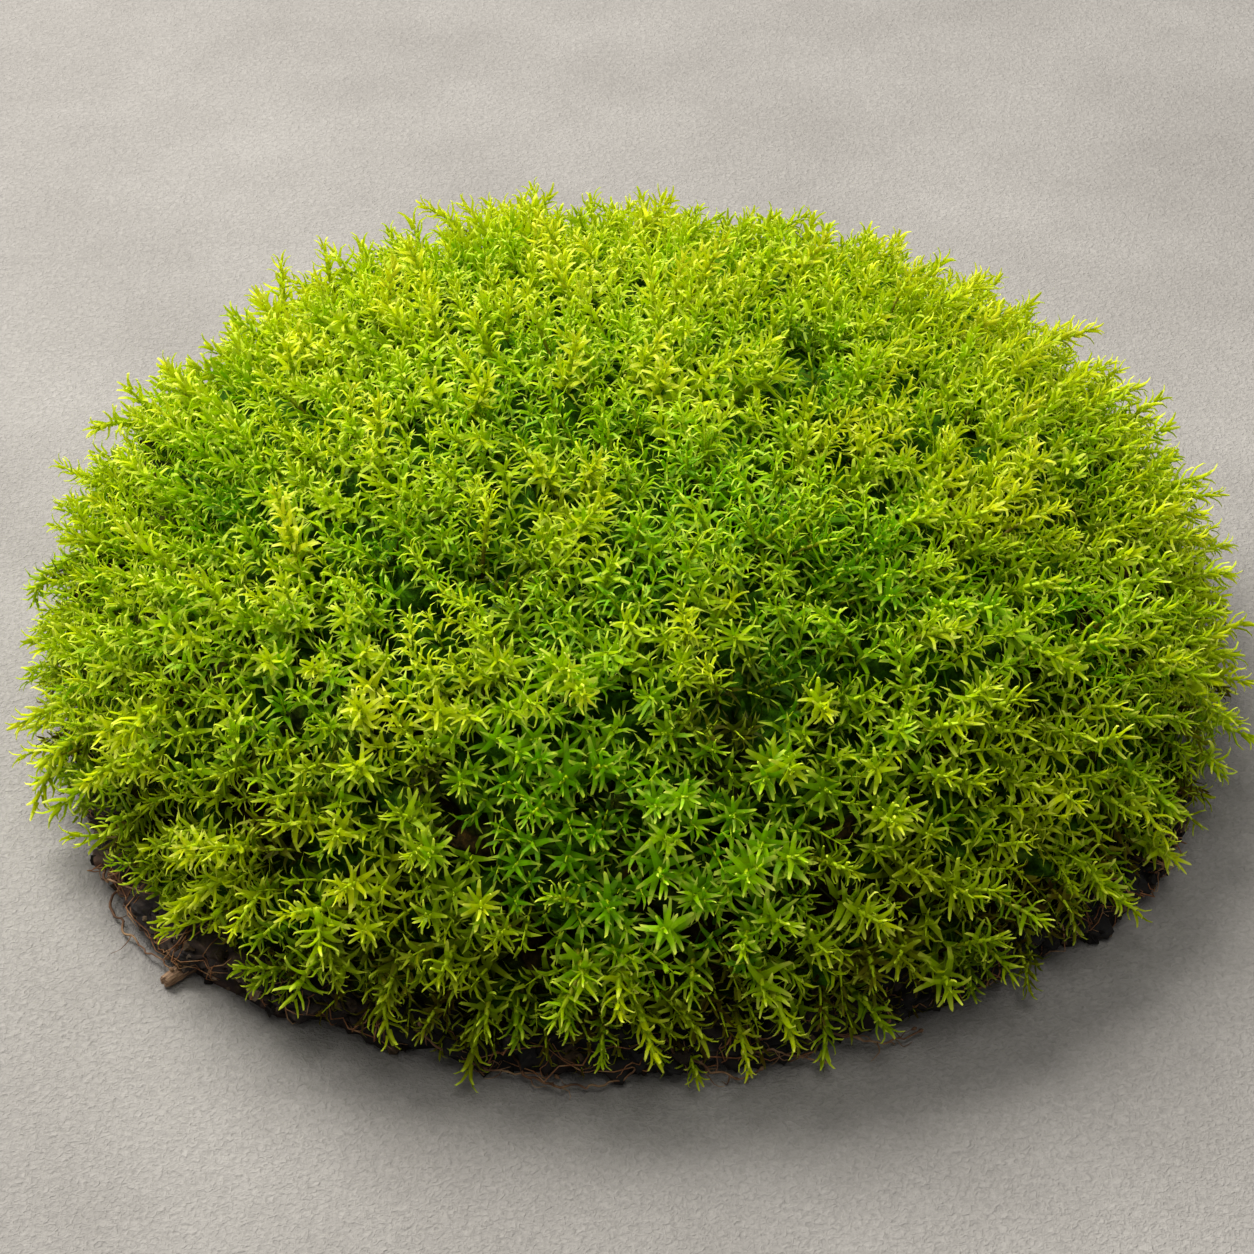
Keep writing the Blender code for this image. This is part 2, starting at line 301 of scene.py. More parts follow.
STRAY = 0.27  # and each a little its own way
OUTWARD_LEAN = Vector((0.60, 0.30, 0))  # most at the left and right
TUFT = 4.2 * MM  # the cushion is drawn up in tufts, with dips between them, darkened by painted shade
TUFT_SIZE = 13 * MM
PIT = -2.0 * MM  # no top shoots grow where the cushion dips lower than this
PIT_FLOOR = -4.2 * MM
PIT_SHADE = (0.10, 0.30)  # how much darker the leaves are there, at the back and at the front
GOLDEN_ANGLE = math.pi * (3 - math.sqrt(5))
# Round patches that differ from the rest of the cushion: how much yellower, how much brighter and how
# many mm higher each kind is, and then where its patches are: right, back and size in mm.
PATCHES = (
    (  # greener
        (-0.35, -0.05, 0),
        ((-54, -18, 9), (-28, -34, 12), (1, -41, 8), (12, -28, 9))
        + ((30, -32, 12), (41, -44, 10), (64, -34, 12)),
    ),
    (  # fresh green
        (-0.55, 0.08, 0),
        ((22, -55, 8), (-6, -77, 14), (8, -82, 14)),
    ),
    (  # yellower
        (0.40, 0.05, 0),
        ((27, -15, 9), (46, -14, 12), (58, -20, 9), (-9, -29, 9), (-26, -49, 8))
        + ((-30, -61, 9), (12, -55, 8), (-72, -47, 9), (-58, -67, 12), (-36, -77, 12))
        + ((-19, -87, 9), (35, -79, 12), (56, -64, 12)),
    ),
    (  # paler
        (0, 0.20, 0),
        ((-42, -34, 7), (-30, -47, 7), (-17, -68, 6), (-43, -76, 8), (-6, -89, 7))
        + ((24, -86, 6), (57, -66, 9), (38, -72, 7), (-57, -70, 6)),
    ),
    (  # deep dips, darkened by painted shade
        (0, -0.32, -3.4),
        ((25, -61, 8), (10, -66, 8), (-4, -73, 6), (-28, -68, 6)),
    ),
    (  # small gaps, a little darkened by painted shade
        (0, -0.05, -1.6),
        ((-21, -40, 5), (-51, -66, 5), (-28, -54, 6)),
    ),
    (  # browned
        (0.45, -0.28, -1.6),
        ((34, -83, 6), (-29, -85, 6), (12, -89, 6)),
    ),
)

STAR, PLUME, CURLY = range(3)
# How one kind of shoot grows: its leafy length, how many leaves it has, their length and their spread
# from the stem in degrees (both at the bud, below it and at the foot), and its leaf forms, new and old.
Habit = namedtuple("Habit", "leafy leaves leaf_length spread forms old_form")


def smooth_step(low, high, value):
    """From 0 at low to 1 at high, with soft ends. Low may be the higher of the two."""
    share = min(max((value - low) / (high - low), 0), 1)
    return share * share * (3 - 2 * share)


def outline(angle):
    """Plan radius of the clump in this direction, as a share of its mean radius."""
    return 1 + sum(a * math.cos(k * angle) + b * math.sin(k * angle) for k, a, b in LOBES)


def growth(place):
    """The way a shoot grows at a place on the round dome: square to it."""
    across = in_plan(place)
    share = min(across.length / RADIUS, 1)
    rise = max(place.z - WIDEST_LEVEL, 0) / (HEIGHT - WIDEST_LEVEL)
    outward = across.normalized() * share ** (DOME_POWER - 1) / RADIUS
    upward = rise ** (DOME_POWER - 1) / (HEIGHT - WIDEST_LEVEL)
    return (outward + Vector((0, 0, upward))).normalized()


def shoot_places(count, chance):
    """Scattered places on the round dome, closer together towards the crown."""
    steep = np.linspace(math.pi / 2, 0, PROFILE_POINTS)
    power = 2 / DOME_POWER
    radii = np.append(RADIUS * np.cos(steep) ** power, RADIUS * RIM_TUCK)
    heights = np.append(WIDEST_LEVEL + (HEIGHT - WIDEST_LEVEL) * np.sin(steep) ** power, RIM_LEVEL)
    radii[0] = 0
    middle = (heights[1:] + heights[:-1]) / 2 / HEIGHT
    crowding = 1 + CROWN_CROWDING * np.clip((middle - 0.45) / 0.4, 0, 1)
    ring = np.hypot(np.diff(radii), np.diff(heights)) * (radii[1:] + radii[:-1]) * math.pi * crowding
    area = np.append(0, np.cumsum(ring))
    spacing = math.sqrt(area[-1] / count)
    stray = SHOOT_SCATTER * spacing
    for index in range(count):
        patch = (index + 0.5) / count * area[-1]
        width = max(float(np.interp(patch, area, radii)), spacing)
        patch = min(max(patch + chance.uniform(-stray, stray) * 2 * math.pi * width, 0), area[-1])
        angle = index * GOLDEN_ANGLE + chance.uniform(-stray, stray) / width
        radius = float(np.interp(patch, area, radii))
        height = float(np.interp(patch, area, heights))
        yield Vector((radius * math.cos(angle), radius * math.sin(angle), height))


def leaf_form(name, length, width, bends, sweep):
    """One closed leaf standing on the origin, its upper face towards +X and its keel towards -X.
    It is a tube of three sides, drawn out ring by ring. Each stretch leans back by its own degrees."""
    blade = bmesh.new()
    along = blade.verts.layers.float.new("along")
    across = blade.verts.layers.float.new("across")
    ring = bmesh.ops.create_circle(blade, cap_ends=True, segments=3, radius=width)["verts"]
    for vert, share in zip(ring, (0.0, 1.0, 0.5)):
        vert[across] = share
    loop = list(blade.edges)
    middle, lean, before = Vector(), 0.0, 0.0
    for (share, wide), bend in zip(BLADE[len(bends)], (0, *bends)):
        if share:
            grown = bmesh.ops.extrude_edge_only(blade, edges=loop)["geom"]
            loop = [item for item in grown if isinstance(item, bmesh.types.BMEdge)]
            ring = [item for item in grown if isinstance(item, bmesh.types.BMVert)]
            lean += math.radians(bend)
            step = Vector((-math.sin(lean), sweep * share, math.cos(lean)))
            middle = middle + step.normalized() * (share - before) * length
            before = share
        margin = Vector((0, width * wide / 2, 0))
        keel = Vector((-math.cos(lean), 0, -math.sin(lean))) * width * wide * KEEL
        for vert in ring:
            vert.co = middle + (keel if vert[across] == 0.5 else margin * (1 - 2 * vert[across]))
            vert[along] = share
    bmesh.ops.pointmerge(blade, verts=ring, merge_co=middle)
    bmesh.ops.recalc_face_normals(blade, faces=blade.faces)
    for face in blade.faces:
        face.smooth = True
    for edge in blade.edges:
        edge.smooth = all(vert[across] == 0.5 or vert[along] == 1 for vert in edge.verts)
    return bpy.data.objects.new(name, finished_mesh(name, blade))


def copies_tree():
    """Sets a form on every point, turned by its two axes, and joins the copies in one mesh."""
    tree = bpy.data.node_groups.new("joined_copies", "GeometryNodeTree")
    tree.interface.new_socket("Points", in_out="INPUT", socket_type="NodeSocketGeometry")
    tree.interface.new_socket("Forms", in_out="INPUT", socket_type="NodeSocketCollection")
    tree.interface.new_socket("Copies", in_out="OUTPUT", socket_type="NodeSocketGeometry")
    nodes = Nodes(tree)

    def named(kind, name):
        reader = nodes.add("GeometryNodeInputNamedAttribute", {"data_type": kind}, Name=name)
        return reader.outputs["Attribute"]

    given = nodes.add("NodeGroupInput").outputs
    forms = nodes.add("GeometryNodeCollectionInfo", Collection=given["Forms"], Separate_Children=True)
    turn = nodes.add(
        "FunctionNodeAxesToRotation",
        {"primary_axis": "Z", "secondary_axis": "X"},
        Primary_Axis=named("FLOAT_VECTOR", "facing"),
        Secondary_Axis=named("FLOAT_VECTOR", "upward"),
    )
    copies = nodes.add(
        "GeometryNodeInstanceOnPoints",
        Points=given["Points"],
        Instance=forms.outputs["Instances"],
        Pick_Instance=True,
        Instance_Index=named("INT", "form"),
        Rotation=turn.outputs["Rotation"],
        Scale=named("FLOAT_VECTOR", "size"),
    )
    joined = nodes.add("GeometryNodeRealizeInstances", Geometry=copies.outputs["Instances"])
    nodes.add("NodeGroupOutput", Copies=joined.outputs["Geometry"])
    return tree


COPIES_TREE = copies_tree()


def joined_copies(forms, places, facing, upward, sizes, picks, **shares):
    """One mesh with a copy of a form at every place. Facing is where its +Z goes, upward its +X."""
    data = bpy.data.meshes.new("points")
    data.vertices.add(len(places))
    data.vertices.foreach_set("co", np.array(places, np.float32).ravel())
    columns = {"facing": ("FLOAT_VECTOR", "vector", facing), "upward": ("FLOAT_VECTOR", "vector", upward)}
    columns |= {"size": ("FLOAT_VECTOR", "vector", sizes), "form": ("INT", "value", picks)}
    columns |= {name: ("FLOAT", "value", column) for name, column in shares.items()}
    for name, (kind, field, column) in columns.items():
        numbers = np.array(column, np.int32 if kind == "INT" else np.float32).ravel()
        data.attributes.new(name, kind, "POINT").data.foreach_set(field, numbers)
    holder = in_scene("points", data)
    arrange = holder.modifiers.new("copies", "NODES")
    arrange.node_group = COPIES_TREE
    arrange["Socket_1"] = forms
    bpy.context.view_layer.update()
    found = holder.evaluated_get(bpy.context.evaluated_depsgraph_get())
    mesh = bpy.data.meshes.new_from_object(found)
    bpy.data.objects.remove(holder)
    bpy.data.meshes.remove(data)
    return mesh


def remove_forms(forms):
    """Takes away the forms that the copies were made from."""
    for form in list(forms.objects):
        bpy.data.objects.remove(form)
    bpy.data.collections.remove(forms)


BLADE = {  # position and width of a leaf's rings, for one stretch, for two and for four
    1: ((0.0, 1.0), (1.0, 0.0)),
    2: ((0.0, 1.3), (0.55, 0.85), (1.0, 0.0)),
    4: ((0.0, 1.36), (0.26, 1.04), (0.56, 0.84), (0.88, 0.56), (1.0, 0.0)),
}
KEEL = 0.42  # depth of a leaf's keel, as a share of its width
# Length and width in mm, the degrees by which each stretch leans back, and the sweep sideways.
LEAVES = (
    (3.8, 0.70, (4, 2, -10, -14), 0.06),
    (3.8, 0.82, (18, 8, -10, -38), 0.18),
    (3.8, 0.80, (6, 16, 30, 46), -0.26),
    (3.8, 0.74, (24, -4, -28, -44), 0.34),
    (3.7, 0.72, (-4, 10, 26, 40), 0.08),
    (3.7, 0.76, (-10, 18, 38, 56), 0.28),
    (3.7, 0.72, (22, -8, -26, -40), -0.30),
    (4.2, 0.50, (6, 26, 42, 54), 0.22),
    (4.2, 0.50, (10, -20, -38, -50), -0.28),
    (4.2, 0.46, (-14, 26, 50, 64), 0.52),
    (4.2, 0.50, (14, 8, -30, -54), -0.47),
    (3.8, 0.74, (8, 44), 0.20),
    (3.8, 0.62, (4, 56), -0.28),
    (3.6, 0.66, (10,), 0.10),
)
LEAF_FORMS = bpy.data.collections.new("leaf_forms")
for number, (length, width, bends, sweep) in enumerate(LEAVES):
    LEAF_FORMS.objects.link(leaf_form(f"leaf_{number:02}", length * MM, width * MM, bends, sweep))

HABITS = {
    STAR: Habit(9.5 * MM, 22, (0.55, 1.0, 0.90), (24, 64, 84), (0, 1, 2, 3), 11),
    PLUME: Habit(13 * MM, 30, (0.62, 0.95, 0.92), (20, 48, 60), (4, 6, 5, 6), 12),
    CURLY: Habit(10 * MM, 24, (0.60, 1.0, 0.95), (22, 58, 78), (7, 8, 9, 10), 12),
}
STEM_STATIONS = 5
STEM_LENGTH = 1.3  # as a share of the leafy length
LEAF_LENGTH = 4 * MM
LEAF_STRAY = 6  # degrees from its place
LEAF_TWIST = 0.35  # and radians about itself
LOWEST_LEAF = 0.3 * MM  # none starts lower than this
LEAF_LEVEL = 0.1 * MM  # and none hangs lower than this
OLD_SHARE = 0.62  # past this share of its leafy length a shoot's leaves are plain
SPENT_SHARE = 0.78  # and past this one they are spent, and straight
UNDER_LEAVES = 0.72  # an under shoot has this share of the leaves, all of them plain
SPENT_FORM = 13
CRADLE = 0.22 * MM  # how far from the stem's middle a leaf starts
FLOOR_CLEARANCE = 0.7 * MM  # leaves are bent up to end this high or higher
TIP_CLEARANCE = 1.2 * MM  # and stems stay this high
PARTS = ("front_shoots", "left_shoots", "right_shoots", "back_shoots")
PARTS += ("crown_front_shoots", "crown_back_shoots")
CROWN_LEVEL = 0.78 * HEIGHT


def part_of(place):
    """The piece that a shoot at this place belongs to: half of the crown, or one of four flanks."""
    if place.z > CROWN_LEVEL:
        return "crown_front_shoots" if place.y < 0 else "crown_back_shoots"
    angle = math.degrees(angle_of(place))
    if -142 < angle < -38:
        return "front_shoots"
    if -38 <= angle < 42:
        return "right_shoots"
    return "back_shoots" if 42 <= angle < 138 else "left_shoots"


def dome_point(across, back):
    """The place on the round dome above this one of the plan."""
    rise = max(1 - (math.hypot(across, back) / RADIUS) ** DOME_POWER, 0) ** (1 / DOME_POWER)
    return Vector((across, back, WIDEST_LEVEL + (HEIGHT - WIDEST_LEVEL) * rise))


PATCH_PLACES = [
    (dome_point(right * MM, back * MM), size * MM, Vector(shift))
    for shift, patches in PATCHES
    for right, back, size in patches
]
CURLED_PLACE = dome_point(CURLED_MIDDLE[0] * MM, CURLED_MIDDLE[1] * MM)


def patch_shifts(place):
    """How much yellower, brighter and higher the cushion is here than elsewhere, from its patches."""
    shifts = Vector()
    for middle, size, shift in PATCH_PLACES:
        shifts += shift * math.exp(-((place - middle).length / size) ** 2)
    return shifts


def drift(place, size):
    """Slow drift over the cushion, from -1 to 1."""
    return 0.7 * noise.noise(place / size) + 0.3 * noise.noise(place.zxy / (0.4 * size))


def ledge_here(angle):
    """How far the soil juts out in this direction, as a share of the fullest ledge."""
    degrees = math.degrees(angle)
    jut = 0
    for middle, wide, most in LEDGES:
        away = (degrees - middle + 180) % 360 - 180
        jut += most * math.exp(-((away / wide) ** 2))
    return min(jut / LEDGES[0][2], 1)


def kind_here(place, level, frontness, chance):
    """The kind of shoot that grows here: curly on the crown, stars at the front, and plumes elsewhere."""
    curled = math.exp(-((place - CURLED_PLACE).length / CURLED_SIZE) ** 2)
    curled += 0.25 * drift(place.yzx, 20 * MM)
    curled = smooth_step(0.30, 0.62, curled) * smooth_step(0.70, 0.82, level)
    if chance.random() < curled:
        return CURLY
    starry = 0.08 + 0.82 * frontness * smooth_step(0.95, 0.75, level) * smooth_step(0.0, 0.36, level)
    return STAR if chance.random() < starry else PLUME


def grow(place, under, chance):
    """Everything about the shoot that starts here: its habit, its line from tip to foot and its colour.
    It is none where it would be a top shoot in a pit."""
    level = place.z / HEIGHT
    outward = growth(place)
    above_rim = min(max((place.z - RIM_LEVEL) / WIDEST_LEVEL, 0), 1)
    yellower, brighter, higher = patch_shifts(place)
    frontness = smooth_step(0.05, 0.65, -outward.y)
    kind = kind_here(place, level, frontness, chance)
    hanging = smooth_step(0.55, 0.05, level)
    strong = not under and level > 0.10 and chance.random() < STRONG_SHARE * (1 + 1.5 * hanging)
    if strong:
        kind = PLUME
    habit = HABITS[kind]
    low = smooth_step(0.36, 0.0, level)
    # Its heading at the tip and at the foot: square to the dome, less so where it droops and leans.
    lifted = ledge_here(angle_of(place)) ** 2.2 * (1 - above_rim)
    droop = Vector((0, 0, -1)) * (DROOP * hanging * (1 - lifted) * chance.uniform(0.35, 1.2))
    stray = Vector([chance.gauss(0, STRAY) for _ in range(3)])
    swirl = Vector((noise.noise(place / LEAN_SIZE), noise.noise(place.zxy / LEAN_SIZE), 0)) * LEAN
    lean = OUTWARD_LEAN * place / RADIUS * smooth_step(0, 0.5, level)
    heading = (outward + droop + stray + swirl + lean).normalized()
    rise = (outward + Vector((0, 0, 0.9)) * (1 - level) + stray * 0.5).normalized()
    # Its tip: how far it stands out from the dome, or is sunk.
    tuft = drift(place, TUFT_SIZE)
    dip = max(TUFT * tuft + higher * MM, PIT_FLOOR) * above_rim
    if dip < PIT and not under:
        return None
    sunk = chance.uniform(*UNDER_DEPTHS) if under else max(0, chance.gauss(0, 1.1)) * MM
    if dip < PIT:
        sunk = chance.uniform(0, UNDER_DEPTHS[0]) * (1 + frontness)
    if strong:
        sunk = -STRONG_LIFT
    reach = SWELLING * noise.noise(place / SWELLING_SIZE) * above_rim + dip - sunk
    tip = place + outward * reach
    angle = angle_of(tip)
    spread = outline(angle) - 0.6 * broken_back(angle) * (1 - above_rim) / RADIUS
    tip.x *= spread
    tip.y *= spread
    tip.z = max(tip.z + LEDGE_LIFT * lifted, TIP_CLEARANCE)
    # Its stem, from the tip down.
    vigour = chance.uniform(*VIGOURS)
    leafy = habit.leafy * vigour * (1 + 0.35 * hanging * strong)
    step = leafy * STEM_LENGTH / (STEM_STATIONS - 1)
    line, ways = [tip], []
    for index in range(STEM_STATIONS):
        share = index / (STEM_STATIONS - 1)
        ways.append(heading.lerp(rise, share).normalized())
        line.append(line[-1] - ways[-1] * step)
        line[-1].z = max(line[-1].z, TIP_CLEARANCE)
    # Its colour: painted light makes it paler on tufts, the crown and the back, where the key light falls,
    # and yellower there and round the rim; painted shade darkens it at the front and in the dips.
    sides = Vector((place.x, place.y)) / RADIUS
    painted_backlight = max(sides.y, 0) * smooth_step(0.25, 0.60, level)
    # Painted light and shade: paler high up, at the back and on tufts, darker at the front and in the dips.
    tone = 0.50 + brighter - 0.02 * frontness + (0.26 + 0.20 * frontness) * tuft
    tone += 0.18 * level + 0.04 * low
    tone += 0.08 * (painted_backlight + min(sides.y, 0)) + 0.06 * sides.x**2 + 0.10 * drift(place.yxz, 34 * MM)
    tone += chance.gauss(0, 0.05)
    # Painted light: the tops of the crown's tufts are made paler and yellower.
    crest = tuft * smooth_step(0.55, 0.88, level)
    tone += 0.16 * crest
    if dip < PIT:
        tone -= PIT_SHADE[0] + (PIT_SHADE[1] - PIT_SHADE[0]) * frontness
    yellow = 0.36 + yellower + 0.12 * level + 0.52 * painted_backlight + 0.28 * sides.x**2 + 0.20 * (1 - above_rim)
    yellow += 0.40 * drift(place.zyx, 20 * MM) + 0.25 * strong + chance.gauss(0, 0.12) + 0.30 * crest
    if chance.random() < DEAD_SHARE[under] * low:
        tone = chance.uniform(0.12, 0.28)
        yellow = 1.0
    return {
        "kind": kind,
        "under": under,
        "line": line[:STEM_STATIONS],
        "ways": ways,
        "leafy": leafy,
        "step": step,
        "vigour": vigour,
        "girth": vigour * (1.2 if strong else 0.55 if under else 0.85 if kind == CURLY else 1),
        # Painted shade: under shoots, and shoots sunk lower than the others, are made darker.
        "tone": tone - (0.03 + 0.15 * low if under else 0) - (0.014 + 0.026 * low) * sunk / MM,
        "yellow": yellow + (0.06 * low - 0.035) * sunk / MM,
        "low": low,
        "part": part_of(place),
    }


def blend(low, middle, high, share):
    """A value that goes from low to middle over the first third, and on to high."""
    if share < 1 / 3:
        return low + (middle - low) * share * 3
    return middle + (high - middle) * (share * 3 - 1) / 2


def leaves_of(shoot, chance):
    """Each leaf of a shoot: place, facing, upward, size, form, tone and yellowness, from the bud down."""
    habit = HABITS[shoot["kind"]]
    turn = chance.uniform(0, 2 * math.pi)
    leaves = round(habit.leaves * (UNDER_LEAVES if shoot["under"] else 1))
    for index in range(leaves):
        share = ((index + 0.4) / leaves) ** 1.15
        station, part = divmod(share * shoot["leafy"] / shoot["step"], 1)
        station = int(station)
        stem = shoot["line"][station].lerp(shoot["line"][station + 1], part)
        way = shoot["ways"][station]
        side = way.orthogonal().normalized()
        side = Matrix.Rotation(turn + index * GOLDEN_ANGLE, 3, way) @ side
        spread = math.radians(blend(*habit.spread, share) + chance.gauss(0, LEAF_STRAY))
        facing = way * math.cos(spread) + side * math.sin(spread)
        length = blend(*habit.leaf_length, share) * shoot["vigour"] * chance.uniform(0.85, 1.12)
        base = stem + side * CRADLE
        shortfall = FLOOR_CLEARANCE - (base.z + facing.z * LEAF_LENGTH * length)
        if shortfall > 0:
            facing.z += shortfall / (LEAF_LENGTH * length)
            facing.normalize()
        upward = way * math.sin(spread) - side * math.cos(spread)
        upward = Matrix.Rotation(chance.gauss(0, LEAF_TWIST), 3, facing) @ upward
        form = habit.forms[0] if share < 0.10 else chance.choice(habit.forms)
        if shoot["under"] or share > OLD_SHARE:
            form = habit.old_form if share < SPENT_SHARE else SPENT_FORM
        age = smooth_step(0.45, 1.0, share)
        tone = shoot["tone"] + 0.17 * (1 - share) - (0.30 + 0.20 * shoot["low"]) * age
        tone += chance.gauss(0, 0.03)
        yellow = shoot["yellow"] + 0.15 * smooth_step(0.25, 0.0, share) + chance.gauss(0, 0.03)
        yellow += (0.45 * shoot["low"] - 0.30) * age
        if base.z > LOWEST_LEAF:
            yield base, facing, upward, (length, length, length), form, tone, yellow


chance = random.Random(5)
shoots = [grow(place, False, chance) for place in shoot_places(TOP_SHOOTS, chance)]
shoots += [grow(place, True, chance) for place in shoot_places(UNDER_SHOOTS, chance)]
shoots = [shoot for shoot in shoots if shoot]
TONES = 16  # steps of tone and of yellowness, which the leaves' map holds side by side
YELLOWS = 6


def stepped(values, steps):
    """Values from 0 to 1 brought to the middle of one of so many steps, and the steps' numbers."""
    step = np.clip(np.floor(np.array(values) * steps), 0, steps - 1)
    return (step + 0.5) / steps, step


def keep_above(mesh, floor):
    """Flattens whatever of this mesh is lower than the floor onto it."""
    spots = np.empty(len(mesh.vertices) * 3, np.float32)
    mesh.vertices.foreach_get("co", spots)
    spots[2::3] = np.maximum(spots[2::3], floor)
    mesh.vertices.foreach_set("co", spots)


def leaf_mesh(shoots, chance):
    """The leaves of these shoots as one mesh, with a map that lays them out by colour and position."""
    *columns, tones, yellows = zip(*(leaf for shoot in shoots for leaf in leaves_of(shoot, chance)))
    tones, tone_steps = stepped(tones, TONES)
    yellows, yellow_steps = stepped(yellows, YELLOWS)
    columns.append((yellow_steps * TONES + tone_steps) / (TONES * YELLOWS))
    mesh = joined_copies(LEAF_FORMS, *columns[:5], strip=columns[5], tone=tones, yellow=yellows)
    values = {}
    for name in ("strip", "along", "across"):
        values[name] = np.empty(len(mesh.vertices), np.float32)
        mesh.attributes[name].data.foreach_get("value", values[name])
    corners = np.empty(len(mesh.loops), np.int32)
    mesh.loops.foreach_get("vertex_index", corners)
    width = (0.1 + 0.8 * values["across"]) / (TONES * YELLOWS)
    spot = np.stack([values["strip"] + width, values["along"]], 1)
    mesh.uv_layers.new(name="OFBake").data.foreach_set("uv", spot[corners].astype(np.float32).ravel())
    mesh.attributes.remove(mesh.attributes["strip"])
    keep_above(mesh, LEAF_LEVEL)
    return mesh


def leaf_material():
    """Moss leaf: green to yellow-green with a paler tip, thin and translucent, with fine cells."""
    made, nodes, place = new_material("moss_leaf")
    value = {name: nodes.attribute(name) for name in ("tone", "yellow", "along", "across")}
    green = nodes.ramp(
        value["tone"],
        (0.00, (0.012, 0.040, 0.001)),
        (0.20, (0.034, 0.140, 0.001)),
        (0.45, (0.095, 0.330, 0.001)),
        (0.65, (0.220, 0.560, 0.001)),
        (0.85, (0.440, 0.740, 0.002)),
        (1.00, (0.600, 0.800, 0.010)),
    )
    yellowed = nodes.ramp(
        value["tone"],
        (0.00, (0.055, 0.028, 0.004)),
        (0.16, (0.150, 0.092, 0.007)),
        (0.30, (0.240, 0.220, 0.005)),
        (0.45, (0.380, 0.430, 0.002)),
        (0.65, (0.620, 0.700, 0.003)),
        (0.85, (0.820, 0.860, 0.006)),
        (1.00, (0.900, 0.880, 0.030)),
    )
    tip = nodes.ramp(
        value["tone"],
        (0.00, (0.10, 0.085, 0.006)),
        (0.20, (0.40, 0.50, 0.040)),
        (0.45, (0.80, 0.93, 0.065)),
        (0.65, (0.94, 0.98, 0.110)),
        (0.90, (0.97, 0.97, 0.240)),
    )
    most = nodes.span(nodes.axis(place, "Z"), 30 * MM, 52 * MM, 0.90, 0.62)
    tipness = nodes.maths("MULTIPLY", nodes.span(value["along"], 0.50, 0.90, 0.0, 1.0), most)
    blade = nodes.mix(tipness, nodes.mix(value["yellow"], green, yellowed), tip)
    off_nerve = nodes.maths("ABSOLUTE", nodes.maths("SUBTRACT", value["across"], 0.5))
    nerve = nodes.span(off_nerve, 0.05, 0.20, 1.10, 1.0)
    foot = nodes.span(value["along"], 0.0, 0.30, 0.75, 1.0)
    colour = nodes.mix(1.0, blade, nodes.maths("MULTIPLY", foot, nerve), "MULTIPLY")
    cells = nodes.noise(place, 9000.0, 1.0)
    normal = nodes.dress(colour, nodes.span(cells, 0.3, 0.7, 0.34, 0.50), cells, 0.5, 0.04 * MM, 0.11)
    glow = nodes.mix(0.25, colour, (0.60, 0.85, 0.004))
    through = nodes.add("ShaderNodeBsdfTranslucent", Color=glow, Normal=normal)
    thin = nodes.add("ShaderNodeMixShader", Fac=0.50)
    nodes.feed(thin, "1", nodes.tree.nodes["Principled BSDF"].outputs["BSDF"])
    nodes.feed(thin, "2", through.outputs["BSDF"])
    nodes.feed(nodes.tree.nodes["Material Output"], "Surface", thin.outputs["Shader"])
    return made


MOSS_LEAF = leaf_material()
for part in PARTS:
    grown = [shoot for shoot in shoots if shoot["part"] == part]
    leaves = piece(part, leaf_mesh(grown, chance), MOSS_LEAF)
    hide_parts("moss_cushion")
remove_forms(LEAF_FORMS)

# Stems of the moss plants. Wiry and upright, yellow-green where they are young and reddish brown
# below. Thin tubes, drawn along each shoot from its foot in the old growth up to its bud.
STEM_RADIUS = 0.36 * MM
STEM_SHARES = (0.65, 0.85, 1.0, 1.0, 0.25)  # of that radius, from the foot to the bud
WELD = 0.002 * MM  # points closer than this become one


def drawn_lines(lines):
    """A mesh of closed tubes along lines of (place, radius), whose map's first number runs along each."""
    curve = bpy.data.curves.new("lines", "CURVE")
    curve.dimensions = "3D"
    curve.bevel_depth = 1 * MM
    curve.bevel_resolution = 0
    curve.use_fill_caps = True
    for points in lines:
        spline = curve.splines.new("POLY")
        spline.points.add(len(points) - 1)
        for point, (place, radius) in zip(spline.points, points):
            point.co = (*place, 1)
            point.radius = radius / MM
    drawn = in_scene("lines", curve)
    mesh = bmesh.new()
    mesh.from_mesh(bpy.data.meshes.new_from_object(drawn))
    bpy.data.objects.remove(drawn)
    bmesh.ops.remove_doubles(mesh, verts=mesh.verts, dist=WELD)
    for vert in mesh.verts:
        vert.co.z = max(vert.co.z, 0)
    return mesh


def along_tube(nodes):
    """How far along its tube a place is, from 0 to 1, out of the tubes' map."""
    return nodes.axis(nodes.add("ShaderNodeUVMap", {"uv_map": "UVMap"}).outputs["UV"], "X")


stem_lines = []
for shoot in shoots:
    radii = [share * shoot["girth"] * STEM_RADIUS for share in STEM_SHARES]
    stem_lines.append(list(zip(reversed(shoot["line"]), radii)))


def stem_material():
    """Moss stem: reddish brown at the foot, orange-tinted above it and yellow-green at the bud."""
    made, nodes, place = new_material("moss_stem")
    blotch = nodes.noise(place, 160.0, 2.0)
    age = nodes.maths("ADD", along_tube(nodes), nodes.span(blotch, 0.3, 0.7, -0.16, 0.16))
    bark = nodes.ramp(
        age,
        (0.12, (0.040, 0.018, 0.004)),
        (0.32, (0.13, 0.105, 0.006)),
        (0.52, (0.28, 0.32, 0.005)),
        (0.75, (0.42, 0.58, 0.004)),
    )
    ridges = nodes.noise(place, 5200.0, 2.0)
    nodes.dress(bark, nodes.span(blotch, 0.3, 0.7, 0.45, 0.65), ridges, 0.5, 0.06 * MM, 0.15)
    return made


stems = piece("shoot_stems", drawn_lines(stem_lines), stem_material())
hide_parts("moss_cushion")

